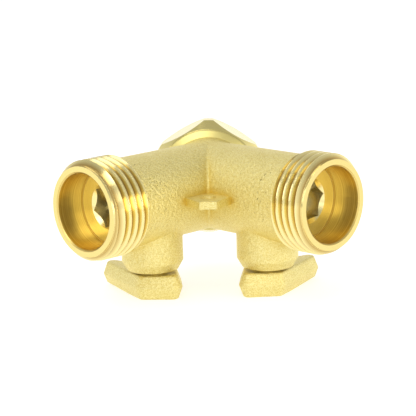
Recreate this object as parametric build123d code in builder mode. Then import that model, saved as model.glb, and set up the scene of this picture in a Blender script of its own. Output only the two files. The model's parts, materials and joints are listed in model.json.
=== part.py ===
from build123d import *
from math import cos, radians, sin, tan
import os

# Two-way garden hose splitter: a forged brass Y body with a swivel nut on its inlet, and a
# quarter-turn ball valve with a cast lever in each of its two outlet arms.
#
# Frame, in millimetres: the origin is the centre of the swivel nut's mouth, +Y points out of
# the inlet, +Z is up and +X goes across the outlets. The arms lie in the plane Z = 0.
# A "station" is a distance along a turned part's own axis, counted from the junction of the
# arms, or from the arm's axis for what stands on a valve's vertical axis.

# Hose thread, 3/4-11.5 NH: 60 degree flanks, flats an eighth of the pitch wide at the root
PITCH = 25.4 / 11.5
FLANK_SLOPE = tan(radians(30))
ROOT_FLAT = PITCH / 8
MALE_MAJOR_R = 13.4
MALE_MINOR_R = 12.06
FEMALE_MINOR_R = 12.3
FEMALE_MAJOR_R = 13.65
THREAD_OVERSHOOT = 0.2

# How far a cutting shape starts outside the surface that it cuts
OVERSHOOT = 1.0

# Forged body
NUT_LENGTH = 14.5
SHOULDER_STATION = 4.7
NUT_FRONT_STATION = 5.0
JUNCTION_Y = -(NUT_FRONT_STATION + NUT_LENGTH)
ARM_ANGLE = 45
ARM_LENGTH = 45.9
ARM_R = 12.0
NECK_R = 12.3
CREASE_FILLET = 0.7
THREAD_START = {"left": 34.0, "right": 35.4}
THREAD_PHASE = {"left": 32.2, "right": 32.5}
THREAD_SEAM = {"left": 300, "right": 200}
THREAD_SHOULDER = 0.8
MOUTH_BREAK = 0.35
EDGE_BREAK = 0.3

# Plain lands at the thread mouths: a pilot on each outlet, and a steep lead up to the crests
PILOT_R = 12.0
PILOT_LENGTH = 0.6
THREAD_LEAD = 0.9

# Waterway
INLET_BORE_R = 8.0
ARM_PASSAGE_R = 6.0
CAVITY_R = 9.0
CAVITY_START = 12.5
RETAINER_BORE_R = 9.8
RETAINER_BORE_START = 31.5
OUTLET_BORE_R = 10.2
OUTLET_BORE_START = 37.4

# Inlet spigot and its snap ring
SPIGOT_R = 9.6
SPIGOT_END = 9.2
RING_GROOVE_R = 8.9
RING_GROOVE = (7.7, 8.8)
RING_OUTER_R = 11.2
RING_STATIONS = (7.8, 8.7)
RING_GAP = 3.0

# Swivel nut, stations from the junction along +Y
NUT_ACROSS_FLATS = 29.3
NUT_TURNED_R = 16.2
NUT_FACE_R = 14.46
NUT_CHAMFER_LENGTH = 5.5
NUT_ROTATION = 1.7
NUT_WALL_END = 7.5
NUT_HOLE_R = 9.7
NUT_RELIEF_R = 13.7
NUT_THREAD_START = 12.4
NUT_LEAD_R = 13.75
NUT_LEAD_START = 18.4
NUT_THREAD_SEAM = 95
WASHER_R = 13.1
WASHER_BORE_R = 8.2
WASHER_STATIONS = (9.5, 12.3)

# Hanging lug in the crotch of the arms
LUG_THICKNESS = 2.1
LUG_ROOT = 8.6
LUG_FRONT = 11.9
LUG_FRONT_HALF_WIDTH = 2.3
LUG_HOLE_R = 2.1
LUG_HOLE_FORWARD = 6.4
LUG_FILLET = 0.5

# Valve neck under each arm; heights are along +Z from the arm's axis
VALVE_STATION = 22.03
VALVE_NECK_R = 8.33
VALVE_NECK_CONE_TOP = -17.3
VALVE_NECK_FACE_R = 6.94
VALVE_NECK_END = -19.7
STEM_BORE_R = 4.0
SHOULDER_POCKET_R = 5.3
SHOULDER_POCKET_FLOOR = -11.5

# Ball valve
BALL_R = 8.4
PORT_R = 5.0
SLOT_WIDTH = 3.0
SLOT_ROOF = -5.9
SEAT_SPHERE_R = 8.5
SEAT_OUTER_R = 8.9
SEAT_BORE_R = 5.2
SEAT_LIP = 5.2
SEAT_GAP = 0.1
RETAINER_R = 9.72
SOCKET_ACROSS_FLATS = 10.5
SOCKET_ROTATION = {"left": -12, "right": -20}
SOCKET_COUNTERSINK_R = 6.2
COUNTERSINK_DEPTH = 1.0
STEM_R = 3.95
STEM_SHOULDER_R = 5.0
STEM_SHOULDER = (-10.4, -8.9)
STEM_END = -24.2
TANG_TOP = -6.2
TANG_WIDTH = 2.7
TANG_LENGTH = 8.0
FLATS_TOP = -20.1
FLATS_HALF_WIDTH = 2.9
STEM_GROOVE_R = 2.6
STEM_GROOVE_WIDTH = 1.5
O_RING_HEIGHTS = (-13.9, -16.9)
O_RING_CENTRE_R = 3.28
O_RING_SECTION_R = 0.64
THRUST_WASHER_R = (4.15, 5.15)
THRUST_WASHER = (-11.42, -10.5)

# Lever handle: its outline is wrapped round four circles, about the stem's axis
HANDLE_TOP = -20.35
HANDLE_BOTTOM = -27.0
HANDLE_ROUND_R = 2.8
HANDLE_HEEL_U = -7.4
HANDLE_HIP = (-1.63, 4.99)
HANDLE_TIP_U = 16.3
HANDLE_DRAFT = 20
HANDLE_EDGE_FILLET = 0.7
HANDLE_TIP_RISE = 0.7
HANDLE_FLATS_CLEARANCE = 0.08

# Quarter-turn stop: a tab on the handle runs in an arc-shaped pocket in the neck's end
STOP_TAB_R = (4.9, 5.9)
STOP_POCKET_R = (4.6, 6.2)
STOP_TAB_HALF_ANGLE = 10
STOP_POCKET_MARGIN = 3
STOP_TAB_TOP = -18.8
STOP_POCKET_ROOF = -18.5
QUARTER_TURN = 90

# Handle screw and spring washer, in a pocket in the handle's underside
SCREW_POCKET_R = 4.3
SCREW_POCKET_ROOF = -24.3
LOCK_WASHER_R = (2.2, 3.7)
LOCK_WASHER = (-25.2, -24.4)
LOCK_WASHER_GAP = 0.7
SCREW_HEAD_R = 3.8
SCREW_HEAD = (-26.9, -25.2)
SCREW_HEAD_EDGE = 0.5
SCREW_SHANK_R = 1.95
SCREW_HOLE_R = 2.0
SCREW_HOLE_END = -18.9
SCREW_END = -19.3
CROSS_SLOT = (4.2, 0.9)
CROSS_DEPTH = 1.0

JUNCTION = Vector(0, JUNCTION_Y, 0)
UP = Vector(0, 0, 1)
INLET = Plane(origin=JUNCTION, x_dir=(0, 1, 0), z_dir=UP)
SIDES = {"left": -1, "right": 1}
PARTS = "parts"


def arm_direction(side):
    """Unit vector along one arm, from the junction to its outlet."""
    return Vector(SIDES[side] * sin(radians(ARM_ANGLE)), -cos(radians(ARM_ANGLE)), 0)


def arm_plane(side):
    """Plane whose x axis runs along one arm and whose normal is up."""
    return Plane(origin=JUNCTION, x_dir=arm_direction(side), z_dir=UP)


def lever_direction(side):
    """Unit vector from the stem to the tip of the closed lever, square to the arm."""
    return Vector(SIDES[side] * cos(radians(ARM_ANGLE)), sin(radians(ARM_ANGLE)), 0)


def valve_centre(side, height=0.0):
    """Point on one valve's vertical axis."""
    return JUNCTION + arm_direction(side) * VALVE_STATION + UP * height


def stem_plane(side):
    """Plane whose x axis runs up one valve's axis, for what is turned about it."""
    return Plane(origin=valve_centre(side), x_dir=UP, z_dir=arm_direction(side))


def lever_plane(side, height):
    """Level plane on one valve's axis, with its x axis along the closed lever."""
    return Plane(origin=valve_centre(side, height), x_dir=lever_direction(side), z_dir=UP)


def turn(plane, outline, mode=Mode.ADD, seam=0):
    """Turn an outline of (station, radius) points about a plane's x axis.

    The seam angle turns the surface's own seam about that axis, away from the plane.
    """
    axis = Axis(plane.origin, plane.x_dir)
    seam_plane = Plane(
        origin=plane.origin,
        x_dir=plane.x_dir,
        z_dir=plane.z_dir.rotate(Axis((0, 0, 0), plane.x_dir), seam),
    )
    with BuildSketch(seam_plane) as profile:
        with BuildLine():
            Polyline(*outline, close=True)
        make_face()
    revolve(profile.sketch, axis=axis, mode=mode)


def tube(plane, start, end, radius, mode=Mode.ADD, hole=0.0):
    """Turn a plain disc or ring between two stations."""
    turn(plane, [(start, hole), (end, hole), (end, radius), (start, radius)], mode)


def thread_groove(direction, start, end, root_r, mouth_r):
    """Right-hand helical groove about an axis through the junction, as a solid to cut away."""
    middle_r = (root_r + mouth_r) / 2
    half_depth = (mouth_r - root_r) / 2
    root_half = ROOT_FLAT / 2
    mouth_half = root_half + abs(mouth_r - root_r) * FLANK_SLOPE
    with BuildPart() as groove:
        with BuildLine() as path:
            Helix(
                pitch=PITCH,
                height=end - start,
                radius=middle_r,
                center=JUNCTION + direction * start,
                direction=direction,
            )
        first = path.line @ 0
        along = path.line % 0
        outward = first - JUNCTION - direction * (first - JUNCTION).dot(direction)
        with BuildSketch(Plane(origin=first, x_dir=outward, z_dir=along)):
            with BuildLine():
                Polyline(
                    (-half_depth, -root_half),
                    (half_depth, -mouth_half),
                    (half_depth, mouth_half),
                    (-half_depth, root_half),
                    close=True,
                )
            make_face()
        sweep(path=path.line, is_frenet=True)
    return groove.part


def ring_sector(radii, start_angle, end_angle):
    """Draw the sector of a ring between two angles about the current sketch's origin."""
    steps = 4
    reach = 2 * radii[1]
    angles = [start_angle + (end_angle - start_angle) * i / steps for i in range(steps + 1)]
    rim = [(reach * cos(radians(angle)), reach * sin(radians(angle))) for angle in angles]
    Circle(radii[1])
    Circle(radii[0], mode=Mode.SUBTRACT)
    Polygon((0, 0), *rim, align=None, mode=Mode.INTERSECT)


def stop_angles(side, margin):
    """Angles swept by the stop tab from closed to open, with a margin at each end."""
    opening = -SIDES[side]
    closed_end = -margin * opening
    open_end = (QUARTER_TURN + margin) * opening
    return min(closed_end, open_end), max(closed_end, open_end)


def cut_groove(builder, groove):
    """Cut a thread groove out of a part, and stop if it didn't take its proper share."""
    least_share = 0.3
    most_share = 0.8
    before = builder.part.volume
    add(groove, mode=Mode.SUBTRACT)
    share = (before - builder.part.volume) / groove.volume
    if not least_share < share < most_share:
        raise ValueError(f"the thread groove took a share of {share:.2f}")


def keep(part, name):
    """Label a finished piece and write its STEP file."""
    part.label = name
    export_step(part, f"{PARTS}/{name}.step")


os.makedirs(PARTS, exist_ok=True)

# ---------------------------------------------------------------- forged Y body
thread_tools = {
    side: thread_groove(
        arm_direction(side),
        THREAD_PHASE[side],
        ARM_LENGTH + PITCH,
        MALE_MINOR_R,
        MALE_MAJOR_R + THREAD_OVERSHOOT,
    )
    for side in SIDES
}

with BuildPart() as y_body:
    # Two arms and the inlet neck, blended by a ball at the junction, behind a flat shoulder
    with Locations(JUNCTION):
        Sphere(NECK_R)
    tube(INLET, 0, SHOULDER_STATION + NECK_R, NECK_R)
    for side in SIDES:
        tube(arm_plane(side), 0, THREAD_START[side] + THREAD_SHOULDER, ARM_R)
    with BuildSketch(Plane.XZ.offset(-JUNCTION_Y - SHOULDER_STATION)):
        Rectangle(2 * ARM_LENGTH, 2 * ARM_LENGTH)
    extrude(amount=-ARM_LENGTH, mode=Mode.SUBTRACT)

    # Valve necks, with a small radius where they leave the arms and in the crotch
    for side in SIDES:
        with BuildSketch(lever_plane(side, 0)):
            Circle(VALVE_NECK_R)
        extrude(amount=VALVE_NECK_CONE_TOP)
    neck_roots = y_body.edges().filter_by(GeomType.BSPLINE).filter_by_position(
        Axis.Y, JUNCTION_Y - ARM_LENGTH, JUNCTION_Y - VALVE_NECK_R / 2
    )
    fillet(neck_roots, CREASE_FILLET)
    fillet(y_body.edges().filter_by(GeomType.ELLIPSE), CREASE_FILLET)
    for side in SIDES:
        turn(
            stem_plane(side),
            [
                (VALVE_NECK_CONE_TOP, 0),
                (VALVE_NECK_CONE_TOP, VALVE_NECK_R),
                (VALVE_NECK_END, VALVE_NECK_FACE_R),
                (VALVE_NECK_END, 0),
            ],
        )

    # Hanging lug: a level plate that fills the crotch
    crotch_y = JUNCTION_Y - ARM_R / sin(radians(ARM_ANGLE))
    lug_root = LUG_ROOT * sin(radians(ARM_ANGLE))
    with BuildSketch(Plane.XY.offset(-LUG_THICKNESS / 2)):
        with BuildLine():
            Polyline(
                (0, crotch_y + LUG_FRONT_HALF_WIDTH),
                (-lug_root - OVERSHOOT, crotch_y - lug_root + OVERSHOOT),
                (-lug_root, crotch_y - lug_root),
                (-LUG_FRONT_HALF_WIDTH, crotch_y - LUG_FRONT),
                (LUG_FRONT_HALF_WIDTH, crotch_y - LUG_FRONT),
                (lug_root, crotch_y - lug_root),
                (lug_root + OVERSHOOT, crotch_y - lug_root + OVERSHOOT),
                close=True,
            )
        make_face()
    extrude(amount=LUG_THICKNESS)
    lug_front = y_body.edges().filter_by(Axis.Z).filter_by_position(
        Axis.Y, crotch_y - LUG_FRONT - LUG_FILLET, crotch_y - LUG_FRONT + LUG_FILLET
    )
    fillet(lug_front, LUG_FILLET)
    with BuildSketch(Plane.XY.offset(-LUG_THICKNESS)):
        with Locations((0, crotch_y - LUG_HOLE_FORWARD)):
            Circle(LUG_HOLE_R)
    extrude(amount=2 * LUG_THICKNESS, mode=Mode.SUBTRACT)

    # Inlet spigot, with the groove for its snap ring
    tube(INLET, SHOULDER_STATION - OVERSHOOT, SPIGOT_END, SPIGOT_R)
    tube(INLET, *RING_GROOVE, 2 * SPIGOT_R, Mode.SUBTRACT, hole=RING_GROOVE_R)

    # Thread blanks at the outlets
    for side in SIDES:
        start = THREAD_START[side]
        pilot = ARM_LENGTH - PILOT_LENGTH
        turn(
            arm_plane(side),
            [
                (start, 0),
                (start, ARM_R),
                (start + THREAD_SHOULDER, MALE_MAJOR_R),
                (pilot - THREAD_LEAD, MALE_MAJOR_R),
                (pilot, PILOT_R),
                (ARM_LENGTH, PILOT_R),
                (ARM_LENGTH, 0),
            ],
            seam=THREAD_SEAM[side],
        )

    # Waterway: inlet bore, arm passages, ball cavities and outlet bores
    with Locations(JUNCTION):
        Sphere(INLET_BORE_R, mode=Mode.SUBTRACT)
    tube(INLET, 0, SPIGOT_END + OVERSHOOT, INLET_BORE_R, Mode.SUBTRACT)
    for side in SIDES:
        turn(
            arm_plane(side),
            [
                (0, 0),
                (0, ARM_PASSAGE_R),
                (CAVITY_START, ARM_PASSAGE_R),
                (CAVITY_START, CAVITY_R),
                (RETAINER_BORE_START, CAVITY_R),
                (RETAINER_BORE_START, RETAINER_BORE_R),
                (OUTLET_BORE_START, RETAINER_BORE_R),
                (OUTLET_BORE_START, OUTLET_BORE_R),
                (ARM_LENGTH - MOUTH_BREAK, OUTLET_BORE_R),
                (ARM_LENGTH, OUTLET_BORE_R + MOUTH_BREAK),
                (ARM_LENGTH, 0),
            ],
            Mode.SUBTRACT,
        )

    # Stem bores, shoulder pockets and the arc-shaped stop pockets in the necks' ends
    for side in SIDES:
        tube(stem_plane(side), VALVE_NECK_END - OVERSHOOT, 0, STEM_BORE_R, Mode.SUBTRACT)
        tube(stem_plane(side), SHOULDER_POCKET_FLOOR, 0, SHOULDER_POCKET_R, Mode.SUBTRACT)
        margin = STOP_TAB_HALF_ANGLE + STOP_POCKET_MARGIN
        with BuildSketch(lever_plane(side, STOP_POCKET_ROOF)):
            ring_sector(STOP_POCKET_R, *stop_angles(side, margin))
        extrude(amount=2 * (VALVE_NECK_END - STOP_POCKET_ROOF), mode=Mode.SUBTRACT)

    for side in SIDES:
        cut_groove(y_body, thread_tools[side])
keep(y_body.part, "y_body")

# ---------------------------------------------------------------- inlet swivel
with BuildPart() as swivel_nut:
    with BuildSketch(Plane(origin=(0, 0, 0), x_dir=(0, 0, 1), z_dir=(0, -1, 0))):
        RegularPolygon(
            NUT_ACROSS_FLATS / 2, side_count=6, major_radius=False, rotation=-NUT_ROTATION
        )
    extrude(amount=NUT_LENGTH)
    nut_end = NUT_FRONT_STATION + NUT_LENGTH
    turn(
        INLET,
        [
            (NUT_FRONT_STATION, 0),
            (NUT_FRONT_STATION, NUT_FACE_R - EDGE_BREAK),
            (NUT_FRONT_STATION + EDGE_BREAK, NUT_FACE_R),
            (NUT_FRONT_STATION + NUT_CHAMFER_LENGTH, NUT_TURNED_R),
            (nut_end - NUT_CHAMFER_LENGTH, NUT_TURNED_R),
            (nut_end - EDGE_BREAK, NUT_FACE_R),
            (nut_end, NUT_FACE_R - EDGE_BREAK),
            (nut_end, 0),
        ],
        Mode.INTERSECT,
    )
    turn(
        INLET,
        [
            (NUT_FRONT_STATION - OVERSHOOT, 0),
            (NUT_FRONT_STATION - OVERSHOOT, NUT_HOLE_R),
            (NUT_WALL_END, NUT_HOLE_R),
            (NUT_WALL_END, NUT_RELIEF_R),
            (NUT_THREAD_START, NUT_RELIEF_R),
            (NUT_THREAD_START, FEMALE_MINOR_R),
            (NUT_LEAD_START - THREAD_LEAD, FEMALE_MINOR_R),
            (NUT_LEAD_START, NUT_LEAD_R),
            (nut_end, NUT_LEAD_R),
            (nut_end, 0),
        ],
        Mode.SUBTRACT,
        seam=NUT_THREAD_SEAM,
    )
    nut_thread = thread_groove(
        Vector(0, 1, 0),
        NUT_THREAD_START - PITCH,
        nut_end + PITCH,
        FEMALE_MAJOR_R,
        FEMALE_MINOR_R - THREAD_OVERSHOOT,
    )
    cut_groove(swivel_nut, nut_thread)
keep(swivel_nut.part, "swivel_nut")

with BuildPart() as nut_retaining_ring:
    tube(INLET, *RING_STATIONS, RING_OUTER_R, hole=RING_GROOVE_R + SEAT_GAP)
    with BuildSketch(Plane.XY.offset(-2 * RING_OUTER_R)):
        with Locations((0, JUNCTION_Y + RING_STATIONS[0])):
            Rectangle(RING_GAP, 4 * RING_GAP)
    extrude(amount=2 * RING_OUTER_R, mode=Mode.SUBTRACT)
keep(nut_retaining_ring.part, "nut_retaining_ring")

with BuildPart() as hose_washer:
    tube(INLET, *WASHER_STATIONS, WASHER_R, hole=WASHER_BORE_R)
    chamfer(hose_washer.edges().filter_by(GeomType.CIRCLE), EDGE_BREAK)
keep(hose_washer.part, "hose_washer")

# ---------------------------------------------------------------- ball valves
for side in SIDES:
    arm = arm_plane(side)
    stem_axis = stem_plane(side)

    # Gland that holds the ball and its seats, with a countersunk hexagonal socket
    with BuildPart() as ball_retainer:
        tube(arm, RETAINER_BORE_START, OUTLET_BORE_START, RETAINER_R)
        with BuildSketch(
            Plane(
                origin=JUNCTION + arm_direction(side) * (RETAINER_BORE_START - OVERSHOOT),
                x_dir=UP,
                z_dir=arm_direction(side),
            )
        ):
            RegularPolygon(
                SOCKET_ACROSS_FLATS / 2,
                side_count=6,
                major_radius=False,
                rotation=SOCKET_ROTATION[side],
            )
        extrude(amount=ARM_LENGTH - RETAINER_BORE_START, mode=Mode.SUBTRACT)
        turn(
            arm,
            [
                (OUTLET_BORE_START - COUNTERSINK_DEPTH, 0),
                (
                    OUTLET_BORE_START - COUNTERSINK_DEPTH,
                    SOCKET_COUNTERSINK_R - COUNTERSINK_DEPTH,
                ),
                (OUTLET_BORE_START + OVERSHOOT, SOCKET_COUNTERSINK_R + OVERSHOOT),
                (OUTLET_BORE_START + OVERSHOOT, 0),
            ],
            Mode.SUBTRACT,
        )
    keep(ball_retainer.part, f"{side}_ball_retainer")

    # Seats on both sides of the ball, each with a spherical lip
    seats = {
        "outlet_seat": (VALVE_STATION + SEAT_LIP, RETAINER_BORE_START - SEAT_GAP),
        "inlet_seat": (CAVITY_START + SEAT_GAP, VALVE_STATION - SEAT_LIP),
    }
    for name, (start, end) in seats.items():
        with BuildPart() as seat:
            with BuildSketch(arm):
                with BuildLine():
                    Polyline(
                        (start, SEAT_BORE_R),
                        (end, SEAT_BORE_R),
                        (end, SEAT_OUTER_R),
                        (start, SEAT_OUTER_R),
                        close=True,
                    )
                make_face()
                with Locations((VALVE_STATION, 0)):
                    Circle(SEAT_SPHERE_R, mode=Mode.SUBTRACT)
            revolve(axis=Axis(arm.origin, arm.x_dir))
        keep(seat.part, f"{side}_{name}")

    # Ball, closed at rest: the port lies across the arm and the stem slot along it
    with BuildPart() as ball:
        with Locations(valve_centre(side)):
            Sphere(BALL_R)
        with BuildSketch(Plane(origin=valve_centre(side), z_dir=lever_direction(side))):
            Circle(PORT_R)
        extrude(amount=2 * BALL_R, both=True, mode=Mode.SUBTRACT)
        with BuildSketch(lever_plane(side, SLOT_ROOF)):
            Rectangle(SLOT_WIDTH, 4 * BALL_R)
        extrude(amount=-BALL_R, mode=Mode.SUBTRACT)
    keep(ball.part, f"{side}_ball")

    # Stem: tang in the ball's slot, blow-out-proof shoulder, O-ring grooves, double-D end
    with BuildPart() as stem:
        tube(stem_axis, *STEM_SHOULDER, STEM_SHOULDER_R)
        tube(stem_axis, STEM_END, STEM_SHOULDER[0], STEM_R)
        for height in O_RING_HEIGHTS:
            low = height - STEM_GROOVE_WIDTH / 2
            high = height + STEM_GROOVE_WIDTH / 2
            tube(stem_axis, low, high, 2 * STEM_R, Mode.SUBTRACT, hole=STEM_GROOVE_R)
        with BuildSketch(lever_plane(side, STEM_SHOULDER[1])):
            Rectangle(TANG_WIDTH, TANG_LENGTH)
        extrude(amount=TANG_TOP - STEM_SHOULDER[1])
        with BuildSketch(lever_plane(side, FLATS_TOP)):
            Rectangle(4 * STEM_R, 4 * STEM_R)
            Rectangle(4 * STEM_R, 2 * FLATS_HALF_WIDTH, mode=Mode.SUBTRACT)
        extrude(amount=2 * STEM_END, mode=Mode.SUBTRACT)
        tube(stem_axis, STEM_END - OVERSHOOT, SCREW_HOLE_END, SCREW_HOLE_R, Mode.SUBTRACT)
    keep(stem.part, f"{side}_stem")

    with BuildPart() as stem_o_rings:
        with BuildSketch(stem_axis):
            with Locations(*[(height, O_RING_CENTRE_R) for height in O_RING_HEIGHTS]):
                Circle(O_RING_SECTION_R)
        revolve(axis=Axis(stem_axis.origin, UP))
    keep(stem_o_rings.part, f"{side}_stem_o_rings")

    with BuildPart() as thrust_washer:
        tube(stem_axis, *THRUST_WASHER, THRUST_WASHER_R[1], hole=THRUST_WASHER_R[0])
    keep(thrust_washer.part, f"{side}_thrust_washer")

    # Lever handle: a kite drafted both ways from its middle, on the stem's double-D
    with BuildPart() as handle:
        half_height = (HANDLE_TOP - HANDLE_BOTTOM) / 2
        with BuildSketch(lever_plane(side, HANDLE_BOTTOM + half_height)) as outline:
            hips = [HANDLE_HIP, (HANDLE_HIP[0], -HANDLE_HIP[1])]
            with Locations((HANDLE_HEEL_U, 0), (HANDLE_TIP_U, 0), *hips):
                Circle(HANDLE_ROUND_R)
            make_hull()
        extrude(amount=half_height, taper=HANDLE_DRAFT)
        extrude(outline.sketch, amount=half_height, dir=-UP, taper=HANDLE_DRAFT)
        reach = HANDLE_TIP_U + HANDLE_ROUND_R
        with BuildSketch(
            Plane(
                origin=valve_centre(side, HANDLE_BOTTOM),
                x_dir=lever_direction(side),
                z_dir=lever_direction(side).cross(UP),
            )
        ):
            with BuildLine():
                Polyline(
                    (STEM_R, 0),
                    (reach, HANDLE_TIP_RISE),
                    (reach, -HANDLE_TIP_RISE),
                    (STEM_R, -HANDLE_TIP_RISE),
                    close=True,
                )
            make_face()
        extrude(amount=2 * reach, both=True, mode=Mode.SUBTRACT)
        rims = [
            edge
            for edge in handle.edges()
            if edge.center().Z > HANDLE_TOP - EDGE_BREAK
            or (
                edge.center().Z < HANDLE_BOTTOM + HANDLE_TIP_RISE
                and edge.geom_type != GeomType.LINE
            )
        ]
        fillet(rims, HANDLE_EDGE_FILLET)
        with BuildSketch(lever_plane(side, HANDLE_TOP + OVERSHOOT)):
            Circle(STEM_R + HANDLE_FLATS_CLEARANCE)
            Rectangle(
                4 * STEM_R, 2 * (FLATS_HALF_WIDTH + HANDLE_FLATS_CLEARANCE), mode=Mode.INTERSECT
            )
        extrude(amount=2 * (HANDLE_BOTTOM - HANDLE_TOP), mode=Mode.SUBTRACT)
        tube(
            stem_axis,
            HANDLE_BOTTOM - OVERSHOOT,
            SCREW_POCKET_ROOF,
            SCREW_POCKET_R,
            Mode.SUBTRACT,
        )
        with BuildSketch(lever_plane(side, HANDLE_TOP - EDGE_BREAK)):
            ring_sector(STOP_TAB_R, -STOP_TAB_HALF_ANGLE, STOP_TAB_HALF_ANGLE)
        extrude(amount=STOP_TAB_TOP - HANDLE_TOP + EDGE_BREAK)
    keep(handle.part, f"{side}_handle")

    with BuildPart() as handle_screw:
        head_face, head_seat = SCREW_HEAD
        turn(
            stem_axis,
            [
                (head_face, 0),
                (head_face, SCREW_HEAD_R - SCREW_HEAD_EDGE),
                (head_face + SCREW_HEAD_EDGE, SCREW_HEAD_R),
                (head_seat, SCREW_HEAD_R),
                (head_seat, SCREW_SHANK_R),
                (SCREW_END, SCREW_SHANK_R),
                (SCREW_END, 0),
            ],
        )
        with BuildSketch(lever_plane(side, head_face)):
            Rectangle(*CROSS_SLOT)
            Rectangle(*reversed(CROSS_SLOT))
        extrude(amount=CROSS_DEPTH, mode=Mode.SUBTRACT)
    keep(handle_screw.part, f"{side}_handle_screw")

    with BuildPart() as lock_washer:
        tube(stem_axis, *LOCK_WASHER, LOCK_WASHER_R[1], hole=LOCK_WASHER_R[0])
        with BuildSketch(lever_plane(side, LOCK_WASHER[0] - OVERSHOOT)):
            with Locations((LOCK_WASHER_R[1], 0)):
                Rectangle(2 * LOCK_WASHER_R[1], LOCK_WASHER_GAP)
        extrude(amount=2 * LOCK_WASHER_R[1], mode=Mode.SUBTRACT)
    keep(lock_washer.part, f"{side}_lock_washer")
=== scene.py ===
import json
from math import cos, radians, sin, sqrt

import bpy
from mathutils import Matrix, Vector


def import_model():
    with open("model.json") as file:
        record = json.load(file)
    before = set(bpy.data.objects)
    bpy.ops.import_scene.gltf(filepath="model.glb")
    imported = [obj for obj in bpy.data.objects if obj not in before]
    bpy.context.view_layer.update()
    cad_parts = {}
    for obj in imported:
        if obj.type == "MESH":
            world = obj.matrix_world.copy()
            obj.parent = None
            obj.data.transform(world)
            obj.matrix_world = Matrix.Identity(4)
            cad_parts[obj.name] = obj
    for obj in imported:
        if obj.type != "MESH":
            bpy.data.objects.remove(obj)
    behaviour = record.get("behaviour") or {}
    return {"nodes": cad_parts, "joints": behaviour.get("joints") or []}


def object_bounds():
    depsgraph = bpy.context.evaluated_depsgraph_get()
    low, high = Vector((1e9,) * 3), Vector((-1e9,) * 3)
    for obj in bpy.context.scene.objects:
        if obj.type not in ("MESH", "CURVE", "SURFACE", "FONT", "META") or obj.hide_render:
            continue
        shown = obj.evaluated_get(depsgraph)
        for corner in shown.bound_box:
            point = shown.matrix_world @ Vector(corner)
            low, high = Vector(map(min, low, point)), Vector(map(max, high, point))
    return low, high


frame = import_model()
CAD_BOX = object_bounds()
NODES = frame["nodes"]
JOINTS = {joint["name"]: joint for joint in frame["joints"]}

MM = 0.001
HALF_ROOT = sqrt(0.5)

# Places on the object, in metres, from the frame
JUNCTION_Y = JOINTS["inlet_swivel"]["pos_m"][1]
FLOOR_Z = CAD_BOX[0].z

# Where the forging's machined surfaces begin: stations along the arms, left then right
THREAD_STARTS = (34.1 * MM, 35.5 * MM)
BORE_SIDE = 10.6 * MM
PILOT_SIDE = 12.03 * MM
CAVITY_DEPTH = 10.0 * MM
MOUTH_FACE = 45.8 * MM
# Radii over which the painted shade in the thread roots fades in
THREAD_ROOT_SHADE_FADE = (13.1 * MM, 12.2 * MM)
PORE_STATIONS = (26.5 * MM, 33.5 * MM)
PORE_EDGE = 2 * MM
PORE_HEIGHTS = (-8 * MM, -3 * MM)
SHOULDER_Y = JUNCTION_Y + 4.65 * MM
NECK_END_Z = -19.65 * MM
NUT_FRONT_Y = JUNCTION_Y + 5.0 * MM
NUT_FACE_DEPTH = 0.1 * MM
NUT_CROWN_R = 14.0 * MM
NUT_CROWN_SLOPE = 0.3

# Camera: where it stands round the junction of the arms
CAMERA_DISTANCE = 460.5 * MM
CAMERA_ELEVATION = radians(12.28)
CAMERA_AZIMUTH = radians(0.62)
CAMERA_ROLL = radians(1.72)
CAMERA_LENS = 142.9
AIM_BELOW = 6.89 * MM
AIM_LEFT = 0.34 * MM
SENSOR_WIDTH = 36
CLIP_START = 0.01

# Light tent: radiance of its front, sides, back and roof, and of the lit floor
TENT_LEFT = 0.72
TENT_FRONT = 1.05
TENT_RIGHT = 0.85
TENT_BACK = 1.2
TENT_BACK_LEFT = 0.85
TENT_ROOF = 0.52
FLOOR_GLOW = 0.6
FLOOR_SIZE = 6
FLOOR_GAP = 0.02 * MM

# Area lights: name, place and size in metres, power in watts
LIGHTS = (
    ("key", (-0.25, -0.52, 0.72), (0.6, 0.6), 2.2),
    ("left", (-0.75, -0.12, 0.3), (0.4, 0.4), 0.65),
    ("front", (-0.05, -0.75, 0.3), (0.35, 0.35), 0.4),
    ("fill", (0.75, -0.4, 0.14), (0.5, 0.4), 1.8),
    ("top", (-0.2, 0.25, 0.9), (0.6, 0.6), 1.3),
)
LIGHT_AIM = (0, -0.02, 0)

# Grain of the surfaces: noise cells per metre, and spacing of the tool lines
PATCH_CELLS = 160
GRAIN_CELLS = 3000
SPECK_CELLS = 3600
PEEL_CELLS = 1100
PORE_CELLS = 1500
PORE_CLUSTER_CELLS = 260
SWIRL_CELLS = 900
HAZE_CELLS = 600
SKIN_CELLS = 1500
DRAWN_CELLS = 1800
FINE_TOOL_LINES = 0.12 * MM
TOOL_LINES = 0.16 * MM
FACE_LINES = 0.22 * MM
BORE_RINGS = 0.45 * MM
# Reach of the painted shade in creases and corners
CREVICE_REACH = 3 * MM
BODY_EDGE = 0.3 * MM
LEVER_EDGE = 1.0 * MM
TURNED_EDGE = 0.1 * MM

# Relief of the surfaces
FORGED_RELIEF = 0.24 * MM
LEVER_RELIEF = 0.20 * MM
TURNED_RELIEF = 0.006 * MM
FINE_RELIEF = 0.004 * MM
RUBBER_RELIEF = 0.02 * MM


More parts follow.
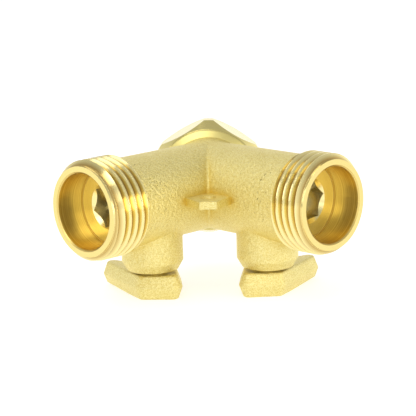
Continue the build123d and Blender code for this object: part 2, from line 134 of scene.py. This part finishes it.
# ---------------------------------------------------------------- node helpers
class Nodes:
    """A short way to write one material's node tree."""

    def __init__(self, name):
        self.material = bpy.data.materials.new(name)
        self.material.use_nodes = True
        self.tree = self.material.node_tree
        self.shader = self.tree.nodes["Principled BSDF"]

    def add(self, kind, **settings):
        node = self.tree.nodes.new(kind)
        for key, value in settings.items():
            setattr(node, key, value)
        return node

    def link(self, source, target):
        if isinstance(source, bpy.types.NodeSocket):
            self.tree.links.new(source, target)
        else:
            target.default_value = source

    def math(self, operation, a, b=0.0, c=None, clamp=False):
        node = self.add("ShaderNodeMath", operation=operation, use_clamp=clamp)
        self.link(a, node.inputs[0])
        self.link(b, node.inputs[1])
        if c is not None:
            self.link(c, node.inputs[2])
        return node.outputs[0]

    def place(self):
        """The point's place in the row frame, as three sockets."""
        coordinates = self.add("ShaderNodeTexCoord")
        split = self.add("ShaderNodeSeparateXYZ")
        self.link(coordinates.outputs["Object"], split.inputs[0])
        return split.outputs

    def noise(self, scale, detail=3.0, roughness=0.5, vector=None):
        node = self.add("ShaderNodeTexNoise")
        if vector is None:
            vector = self.add("ShaderNodeTexCoord").outputs["Object"]
        self.link(vector, node.inputs["Vector"])
        node.inputs["Scale"].default_value = scale
        node.inputs["Detail"].default_value = detail
        node.inputs["Roughness"].default_value = roughness
        return node.outputs["Fac"]

    def lines(self, coordinate, spacing, detail=2.0):
        """Fine uneven lines across one coordinate, such as a cutting tool leaves."""
        node = self.add("ShaderNodeTexNoise", noise_dimensions="1D")
        self.link(coordinate, node.inputs["W"])
        node.inputs["Scale"].default_value = 1 / spacing
        node.inputs["Detail"].default_value = detail
        return node.outputs["Fac"]

    def hollow(self, reach):
        """How far the surface is shut in by its own shape: 0 in the open, 1 in a corner."""
        node = self.add("ShaderNodeAmbientOcclusion", samples=8, only_local=True)
        node.inputs["Distance"].default_value = reach
        return self.spread(node.outputs["AO"], 0.95, 0.45)

    def spread(self, value, low, high, to_low=0.0, to_high=1.0):
        node = self.add("ShaderNodeMapRange")
        self.link(value, node.inputs["Value"])
        for name, number in (
            ("From Min", low),
            ("From Max", high),
            ("To Min", to_low),
            ("To Max", to_high),
        ):
            self.link(number, node.inputs[name])
        return node.outputs["Result"]

    def mix(self, share, a, b):
        node = self.add("ShaderNodeMix")
        self.link(share, node.inputs[0])
        self.link(a, node.inputs[2])
        self.link(b, node.inputs[3])
        return node.outputs[0]

    def mix_colour(self, share, a, b):
        node = self.add("ShaderNodeMix", data_type="RGBA")
        self.link(share, node.inputs[0])
        self.link(a, node.inputs[6])
        self.link(b, node.inputs[7])
        return node.outputs[2]

    def bump(self, height, distance, below=None):
        node = self.add("ShaderNodeBump")
        node.inputs["Strength"].default_value = 1.0
        self.link(distance, node.inputs["Distance"])
        self.link(height, node.inputs["Height"])
        if below is not None:
            self.link(below, node.inputs["Normal"])
        return node.outputs["Normal"]

    def finish(self, colour, roughness, normal=None, metallic=1.0):
        self.link(colour, self.shader.inputs["Base Color"])
        self.link(roughness, self.shader.inputs["Roughness"])
        self.shader.inputs["Metallic"].default_value = metallic
        if normal is not None:
            self.link(normal, self.shader.inputs["Normal"])
        return self.material


def dress(material, *names):
    for name in names:
        mesh = NODES[name].data
        mesh.materials.clear()
        mesh.materials.append(material)


# ---------------------------------------------------------------- materials
BRASS = (0.91, 0.79, 0.33, 1.0)
BRASS_DEEP = (0.82, 0.70, 0.25, 1.0)
BRASS_DULL = (0.74, 0.59, 0.17, 1.0)
BRASS_BRIGHT = (0.98, 0.88, 0.43, 1.0)
# Painted shade colour for creases and corners
BRASS_CREVICE_SHADE = (0.80, 0.61, 0.14, 1.0)
BRASS_SPECK = (0.42, 0.31, 0.09, 1.0)
BRASS_TURNED = (0.92, 0.79, 0.36, 1.0)
# Painted shade colour for the thread roots
BRASS_ROOT_SHADE = (0.58, 0.40, 0.12, 1.0)
# Painted shade colours for the bores and mouth faces, darker than the turned outside
BRASS_BORE_SHADE = (0.82, 0.64, 0.21, 1.0)
BRASS_BORE_RING_SHADE = (0.68, 0.49, 0.14, 1.0)
BRASS_NUT = (0.84, 0.71, 0.25, 1.0)
PLATING = (0.42, 0.38, 0.30, 1)
WHITE_PTFE = (0.9, 0.9, 0.87, 1)
RUBBER = (0.02, 0.02, 0.02, 1)
STEEL = (0.6, 0.6, 0.61, 1)
FLOOR_GREY = (0.6, 0.6, 0.6, 1)
WHITE = (1, 1, 1, 1)


def arm_coordinates(m):
    """Distance along the nearer arm, distance from its axis, and the plain coordinates."""
    x, y, z = m.place()
    side = m.math("ABSOLUTE", x)
    back = m.math("SUBTRACT", y, JUNCTION_Y)
    along = m.math("MULTIPLY", m.math("SUBTRACT", side, back), HALF_ROOT)
    across = m.math("MULTIPLY", m.math("ADD", side, back), HALF_ROOT)
    radius = m.math(
        "SQRT", m.math("ADD", m.math("MULTIPLY", across, across), m.math("MULTIPLY", z, z))
    )
    return along, radius, x, y, z


def forged_surface(m):
    """Colour, roughness and grain of a sand-blasted forging, with painted shade in its creases
    and corners.
    """
    patches = m.noise(PATCH_CELLS, detail=2)
    grain = m.noise(GRAIN_CELLS, detail=3, roughness=0.65)
    specks = m.noise(SPECK_CELLS, detail=1)
    peel = m.noise(PEEL_CELLS, detail=2)
    colour = m.mix_colour(m.spread(patches, 0.3, 0.7), BRASS_DEEP, BRASS)
    light = m.mix_colour(m.spread(grain, 0.38, 0.62), BRASS_DULL, BRASS_BRIGHT)
    colour = m.mix_colour(0.75, colour, light)
    colour = m.mix_colour(m.spread(specks, 0.30, 0.20, 0.0, 0.8), colour, BRASS_SPECK)
    # Painted shade: the colour turns a deeper, more saturated gold where creases and corners shut
    # the surface in.
    colour = m.mix_colour(m.hollow(CREVICE_REACH), colour, BRASS_CREVICE_SHADE)
    height = m.math("ADD", grain, m.math("MULTIPLY", peel, 1.2))
    return colour, m.spread(grain, 0.3, 0.7, 0.5, 0.38), height


def soft_edges(m, radius):
    node = m.add("ShaderNodeBevel", samples=6)
    node.inputs["Radius"].default_value = radius
    return node.outputs["Normal"]


def between(m, value, low, high, edge=0.1 * MM):
    """1 inside a range of a coordinate, 0 outside, with a short slope at both ends."""
    rise = m.spread(value, low - edge, low + edge)
    fall = m.spread(value, high - edge, high + edge, 1.0, 0.0)
    return m.math("MULTIPLY", rise, fall)


def y_body_material():
    m = Nodes("forged_brass_body")
    along, radius, x, y, z = arm_coordinates(m)
    colour, rough, height = forged_surface(m)

    # Casting pores close behind the threads
    pores = m.spread(m.noise(PORE_CELLS, detail=1), 0.36, 0.28)
    pores = m.math("MULTIPLY", pores, between(m, along, *PORE_STATIONS, PORE_EDGE))
    pores = m.math("MULTIPLY", pores, m.spread(m.noise(PORE_CLUSTER_CELLS, detail=1), 0.5, 0.62))
    pores = m.math("MULTIPLY", pores, m.spread(z, *PORE_HEIGHTS))
    colour = m.mix_colour(pores, colour, BRASS_SPECK)
    height = m.math("SUBTRACT", height, pores)
    forged = m.bump(height, FORGED_RELIEF, soft_edges(m, BODY_EDGE))

    # Machined outlets: threads, bores and mouth faces
    start = m.mix(m.math("GREATER_THAN", x, 0.0), THREAD_STARTS[0], THREAD_STARTS[1])
    threaded = m.math("GREATER_THAN", along, start)
    bored = m.math("LESS_THAN", radius, BORE_SIDE)
    bored = m.math("MULTIPLY", bored, m.math("GREATER_THAN", along, CAVITY_DEPTH))
    inlet = m.math("GREATER_THAN", y, SHOULDER_Y)
    foot = m.math("LESS_THAN", z, NECK_END_Z)
    machined = threaded
    for mask in (bored, inlet, foot):
        machined = m.math("MAXIMUM", machined, mask)
    # Painted shade: the thread roots turn darker and more saturated, where the threads shade each
    # other.
    root_shade = m.spread(radius, *THREAD_ROOT_SHADE_FADE)
    root_shade = m.math("MULTIPLY", root_shade, m.math("GREATER_THAN", radius, PILOT_SIDE))
    turned_colour = m.mix_colour(root_shade, BRASS_TURNED, BRASS_ROOT_SHADE)
    # Painted shade: the mouth faces are darkened partway towards the bore's shaded colour.
    rim = m.math("GREATER_THAN", along, MOUTH_FACE)
    turned_colour = m.mix_colour(m.math("MULTIPLY", rim, 0.7), turned_colour, BRASS_BORE_SHADE)
    # Painted shade: the bores are a darker, more saturated gold than the turned outside, with
    # darker tool rings across them.
    rings = m.spread(m.lines(along, BORE_RINGS), 0.42, 0.62)
    shaded_bore_colour = m.mix_colour(rings, BRASS_BORE_RING_SHADE, BRASS_BORE_SHADE)
    turned_colour = m.mix_colour(bored, turned_colour, shaded_bore_colour)
    lines = m.lines(along, TOOL_LINES)
    turned = m.bump(lines, TURNED_RELIEF, soft_edges(m, TURNED_EDGE))
    turned_rough = m.mix(bored, 0.17, 0.34)

    normal = m.add("ShaderNodeMix", data_type="VECTOR")
    m.link(machined, normal.inputs[0])
    m.link(forged, normal.inputs[4])
    m.link(turned, normal.inputs[5])
    return m.finish(
        m.mix_colour(machined, colour, turned_colour),
        m.mix(machined, rough, turned_rough),
        normal.outputs[1],
    )


def forged_material():
    m = Nodes("forged_brass")
    colour, rough, height = forged_surface(m)
    return m.finish(colour, rough, m.bump(height, LEVER_RELIEF, soft_edges(m, LEVER_EDGE)))


def machined_material():
    m = Nodes("machined_brass")
    lines = m.lines(m.place()["Y"], FINE_TOOL_LINES)
    return m.finish(BRASS_TURNED, 0.2, m.bump(lines, FINE_RELIEF))


def nut_material():
    """Turned and milled brass, with a crowned front face."""
    m = Nodes("machined_brass_nut")
    x, y, z = m.place()
    radius = m.math("SQRT", m.math("ADD", m.math("MULTIPLY", x, x), m.math("MULTIPLY", z, z)))
    lines = m.math("ADD", m.lines(radius, FACE_LINES), m.lines(y, TOOL_LINES))
    fine = m.bump(lines, TURNED_RELIEF, soft_edges(m, BODY_EDGE))
    face = m.math("LESS_THAN", y, NUT_FRONT_Y + NUT_FACE_DEPTH)
    crown = m.math("MULTIPLY", m.math("MULTIPLY", radius, radius), -NUT_CROWN_SLOPE / NUT_CROWN_R)
    crowned = m.bump(m.math("MULTIPLY", crown, 1 / MM), 1 * MM, fine)
    normal = m.add("ShaderNodeMix", data_type="VECTOR")
    m.link(face, normal.inputs[0])
    m.link(fine, normal.inputs[4])
    m.link(crowned, normal.inputs[5])
    return m.finish(
        m.mix_colour(face, BRASS_NUT, BRASS_DEEP), m.mix(face, 0.16, 0.38), normal.outputs[1]
    )


def plated_material():
    m = Nodes("plated_ball")
    swirl = m.noise(SWIRL_CELLS, detail=2)
    return m.finish(PLATING, m.spread(swirl, 0.3, 0.7, 0.16, 0.26))


def ptfe_material():
    m = Nodes("ptfe")
    haze = m.noise(HAZE_CELLS, detail=2)
    return m.finish(WHITE_PTFE, m.spread(haze, 0.3, 0.7, 0.4, 0.5), metallic=0.0)


def rubber_material():
    m = Nodes("black_rubber")
    skin = m.noise(SKIN_CELLS, detail=2)
    rough = m.spread(skin, 0.3, 0.7, 0.55, 0.7)
    return m.finish(RUBBER, rough, m.bump(skin, RUBBER_RELIEF), metallic=0.0)


def steel_material():
    m = Nodes("spring_steel")
    drawn = m.noise(DRAWN_CELLS, detail=2)
    return m.finish(STEEL, m.spread(drawn, 0.3, 0.7, 0.22, 0.34))


SIDES = ("left", "right")
dress(y_body_material(), "y_body")
dress(forged_material(), *(f"{side}_handle" for side in SIDES))
dress(nut_material(), "swivel_nut")
dress(
    machined_material(),
    *(f"{side}_{part}" for side in SIDES for part in ("ball_retainer", "stem")),
)
dress(plated_material(), *(f"{side}_ball" for side in SIDES))
dress(
    ptfe_material(),
    *(f"{s}_{part}" for s in SIDES for part in ("outlet_seat", "inlet_seat", "thrust_washer")),
)
dress(rubber_material(), "hose_washer", *(f"{side}_stem_o_rings" for side in SIDES))
dress(
    steel_material(),
    "nut_retaining_ring",
    *(f"{side}_{part}" for side in SIDES for part in ("handle_screw", "lock_washer")),
)

# ---------------------------------------------------------------- floor, light, camera


def floor():
    m = Nodes("pale_floor")
    m.finish(FLOOR_GREY, 0.9, metallic=0.0)
    m.shader.inputs["Emission Color"].default_value = WHITE
    m.shader.inputs["Emission Strength"].default_value = FLOOR_GLOW
    bpy.ops.mesh.primitive_plane_add(size=FLOOR_SIZE, location=(0, 0, FLOOR_Z - FLOOR_GAP))
    plane = bpy.context.object
    plane.name = "floor"
    plane.data.materials.append(m.material)


def area_light(name, place, size, power):
    light = bpy.data.lights.new(name, "AREA")
    light.shape = "RECTANGLE"
    light.size, light.size_y = size
    light.energy = power
    holder = bpy.data.objects.new(name, light)
    bpy.context.scene.collection.objects.link(holder)
    holder.location = place
    direction = Vector(LIGHT_AIM) - Vector(place)
    holder.rotation_euler = direction.to_track_quat("-Z", "Y").to_euler()
    holder.visible_camera = False


def world():
    """A light tent: a bright backdrop, an open front and a dimmer roof."""
    made = bpy.data.worlds.new("studio")
    made.use_nodes = True
    tree = made.node_tree
    background = tree.nodes["Background"]
    background.inputs["Color"].default_value = WHITE
    direction = tree.nodes.new("ShaderNodeTexCoord").outputs["Generated"]
    split = tree.nodes.new("ShaderNodeSeparateXYZ")
    tree.links.new(direction, split.inputs[0])

    def ramp(value, low, high, to_low, to_high):
        node = tree.nodes.new("ShaderNodeMapRange")
        node.interpolation_type = "SMOOTHSTEP"
        for name, item in (
            ("From Min", low),
            ("From Max", high),
            ("To Min", to_low),
            ("To Max", to_high),
            ("Value", value),
        ):
            if isinstance(item, bpy.types.NodeSocket):
                tree.links.new(item, node.inputs[name])
            else:
                node.inputs[name].default_value = item
        return node.outputs["Result"]

    right = ramp(split.outputs["X"], 0.1, 0.9, TENT_FRONT, TENT_RIGHT)
    front = ramp(split.outputs["X"], -0.8, -0.1, TENT_LEFT, right)
    back = ramp(split.outputs["X"], -0.8, 0.0, TENT_BACK_LEFT, TENT_BACK)
    level = ramp(split.outputs["Y"], -0.4, 0.6, front, back)
    strength = ramp(split.outputs["Z"], 0.05, 0.7, level, TENT_ROOF)
    tree.links.new(strength, background.inputs["Strength"])
    bpy.context.scene.world = made


def camera():
    data = bpy.data.cameras.new("camera")
    data.sensor_width = SENSOR_WIDTH
    data.lens = CAMERA_LENS
    data.clip_start = CLIP_START
    holder = bpy.data.objects.new("camera", data)
    bpy.context.scene.collection.objects.link(holder)
    bpy.context.scene.camera = holder
    back = Vector(
        (
            sin(CAMERA_AZIMUTH) * cos(CAMERA_ELEVATION),
            -cos(CAMERA_AZIMUTH) * cos(CAMERA_ELEVATION),
            sin(CAMERA_ELEVATION),
        )
    )
    level = Vector((cos(CAMERA_AZIMUTH), sin(CAMERA_AZIMUTH), 0))
    rise = back.cross(level)
    right = level * cos(CAMERA_ROLL) - rise * sin(CAMERA_ROLL)
    up = level * sin(CAMERA_ROLL) + rise * cos(CAMERA_ROLL)
    turn = Matrix((right, up, back)).transposed().to_4x4()
    aim = Vector((-AIM_LEFT, JUNCTION_Y, -AIM_BELOW))
    holder.matrix_world = Matrix.Translation(aim + back * CAMERA_DISTANCE) @ turn


floor()
world()
for light in LIGHTS:
    area_light(*light)
camera()
bpy.context.scene.view_settings.view_transform = "Standard"
